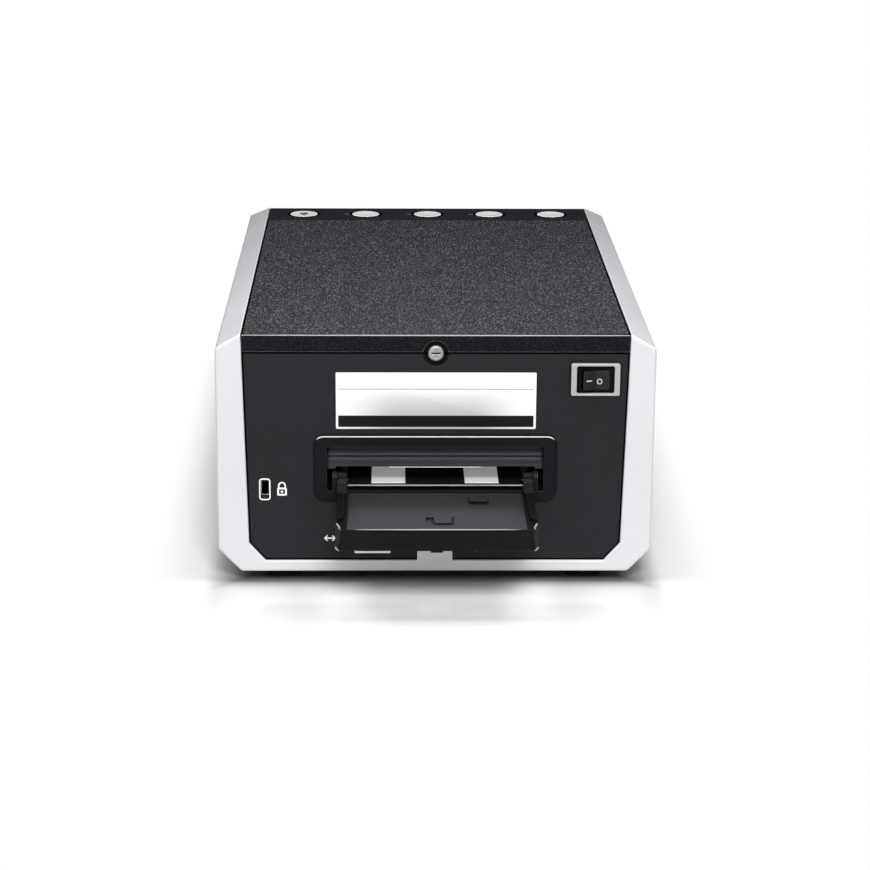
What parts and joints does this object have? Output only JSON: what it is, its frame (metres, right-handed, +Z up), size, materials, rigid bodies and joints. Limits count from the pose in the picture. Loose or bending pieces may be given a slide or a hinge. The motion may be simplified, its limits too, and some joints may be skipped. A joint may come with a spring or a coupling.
{
  "type": "film negative scanner",
  "caption": "Motor-fed film strip scanner in a silver band case with front and rear film slots behind folding doors, push buttons and a power rocker.",
  "frame": {"origin": "on the table under the middle of the part, between the tips of the two open doors", "axes": "+Z up, +Y towards the rear face with the sockets and the power switch, +X to the left as seen from behind"},
  "size_m": [0.175, 0.3526, 0.104],
  "materials": {
    "case_silver": "fine satin silver-white paint on moulded plastic",
    "cover_charcoal": "leather-grained charcoal plastic",
    "strip_black": "smooth blue-black plastic",
    "panel_black": "fine spark-eroded black plastic",
    "slot_black": "satin black plastic",
    "door_black": "satin black plastic",
    "switch_black": "semi-gloss black plastic",
    "trim_white": "smooth white plastic",
    "button_silver": "satin silver",
    "steel": "bright plated steel",
    "guide_metal": "satin aluminium sheet",
    "foot_rubber": "matt black rubber",
    "roller_rubber": "ground dark rubber",
    "board_green": "solder mask green",
    "chip_black": "matt black epoxy",
    "inner_black": "matt black plastic",
    "diffuser_opal": "opal diffuser plastic",
    "mirror": "front-silvered glass",
    "lens_glass": "coated optical glass",
    "bush_bronze": "plain bronze",
    "motor_black": "black lacquered motor housing",
    "gear_white": "natural acetal plastic"
  },
  "bodies": {
    "casing": {"outer_case": "case_silver", "top_cover": "cover_charcoal", "button_panel": "strip_black", "button_board": "board_green", "rear_panel": "panel_black", "front_panel": "panel_black", "rear_slot_frame": "slot_black", "rear_hood": "slot_black", "front_slot_frame": "slot_black", "front_hood": "slot_black", "door_pins": "steel", "switch_frame": "trim_white", "switch_body": "switch_black", "lock_plate": "steel", "cover_screw": "steel", "bottom_screws": "steel", "board_screws": "steel", "feet": "foot_rubber", "usb_socket": "steel", "power_jack": "switch_black", "main_board": "board_green", "board_parts": "chip_black", "optics_base": "inner_black", "lower_film_guide": "guide_metal", "channel_rails": "inner_black", "upper_film_guide": "inner_black", "guide_pads": "trim_white", "hood_strips": "trim_white", "lamp_housing": "inner_black", "lamp_diffuser": "diffuser_opal", "lamp_board": "board_green", "mirror": "mirror", "lens_barrel": "inner_black", "lens_glasses": "lens_glass", "lens_clamp": "steel", "sensor_board": "board_green", "shaft_bushes": "bush_bronze", "gear_axle": "steel", "motor_bracket": "steel", "motor": "motor_black"},
    "rear_door": {"rear_door": "door_black"},
    "front_door": {"front_door": "door_black"},
    "button_1": {"button_1": "button_silver"},
    "button_2": {"button_2": "button_silver"},
    "button_3": {"button_3": "button_silver"},
    "button_4": {"button_4": "button_silver"},
    "button_5": {"button_5": "button_silver"},
    "rocker": {"switch_rocker": "switch_black"},
    "middle_gear": {"middle_gear": "gear_white"},
    "motor_rotor": {"motor_shaft": "steel", "motor_pinion": "bush_bronze"},
    "rear_drive_roller": {"rear_roller_shaft": "steel", "rear_rollers": "roller_rubber", "rear_roller_gear": "gear_white"},
    "front_drive_roller": {"front_roller_shaft": "steel", "front_rollers": "roller_rubber", "front_roller_gear": "gear_white"},
    "rear_pinch_roller": {"rear_pinch_roller": "gear_white"},
    "front_pinch_roller": {"front_pinch_roller": "gear_white"}
  },
  "joints": [
    {"name": "rear_door_hinge", "type": "hinge", "parent": "casing", "child": "rear_door", "pos_m": [0, 0.1275, 0.0444], "axis": [1, 0, 0], "range_deg": [0, 90]},
    {"name": "front_door_hinge", "type": "hinge", "parent": "casing", "child": "front_door", "pos_m": [0, -0.1275, 0.0444], "axis": [-1, 0, 0], "range_deg": [0, 90]},
    {"name": "button_1_press", "type": "slide", "parent": "casing", "child": "button_1", "axis": [0, 0, -1], "range_m": [0, 0.0008], "stiffness_N_per_m": 500, "springref_m": -0.001},
    {"name": "button_2_press", "type": "slide", "parent": "casing", "child": "button_2", "axis": [0, 0, -1], "range_m": [0, 0.0008], "stiffness_N_per_m": 500, "springref_m": -0.001},
    {"name": "button_3_press", "type": "slide", "parent": "casing", "child": "button_3", "axis": [0, 0, -1], "range_m": [0, 0.0008], "stiffness_N_per_m": 500, "springref_m": -0.001},
    {"name": "button_4_press", "type": "slide", "parent": "casing", "child": "button_4", "axis": [0, 0, -1], "range_m": [0, 0.0008], "stiffness_N_per_m": 500, "springref_m": -0.001},
    {"name": "button_5_press", "type": "slide", "parent": "casing", "child": "button_5", "axis": [0, 0, -1], "range_m": [0, 0.0008], "stiffness_N_per_m": 500, "springref_m": -0.001},
    {"name": "power_rocker", "type": "hinge", "parent": "casing", "child": "rocker", "pos_m": [-0.0634, 0.1281, 0.08535], "axis": [0, 0, 1], "range_deg": [-18, 0]},
    {"name": "middle_gear_spin", "type": "hinge", "parent": "casing", "child": "middle_gear", "pos_m": [0.047, 0, 0.0367], "axis": [1, 0, 0], "continuous": true},
    {"name": "motor_spin", "type": "hinge", "parent": "casing", "child": "motor_rotor", "pos_m": [0.047, 0, 0.0577], "axis": [1, 0, 0], "continuous": true},
    {"name": "rear_drive_spin", "type": "hinge", "parent": "casing", "child": "rear_drive_roller", "pos_m": [0, 0.024, 0.0367], "axis": [1, 0, 0], "continuous": true},
    {"name": "front_drive_spin", "type": "hinge", "parent": "casing", "child": "front_drive_roller", "pos_m": [0, -0.024, 0.0367], "axis": [1, 0, 0], "continuous": true},
    {"name": "rear_pinch_spin", "type": "hinge", "parent": "casing", "child": "rear_pinch_roller", "pos_m": [0, 0.024, 0.0506], "axis": [1, 0, 0], "continuous": true},
    {"name": "front_pinch_spin", "type": "hinge", "parent": "casing", "child": "front_pinch_roller", "pos_m": [0, -0.024, 0.0506], "axis": [1, 0, 0], "continuous": true}
  ],
  "couplings": [
    {"joint": "motor_spin", "follows": "middle_gear_spin", "ratio": -2},
    {"joint": "rear_drive_spin", "follows": "middle_gear_spin", "ratio": -1.4},
    {"joint": "front_drive_spin", "follows": "middle_gear_spin", "ratio": -1.4}
  ]
}
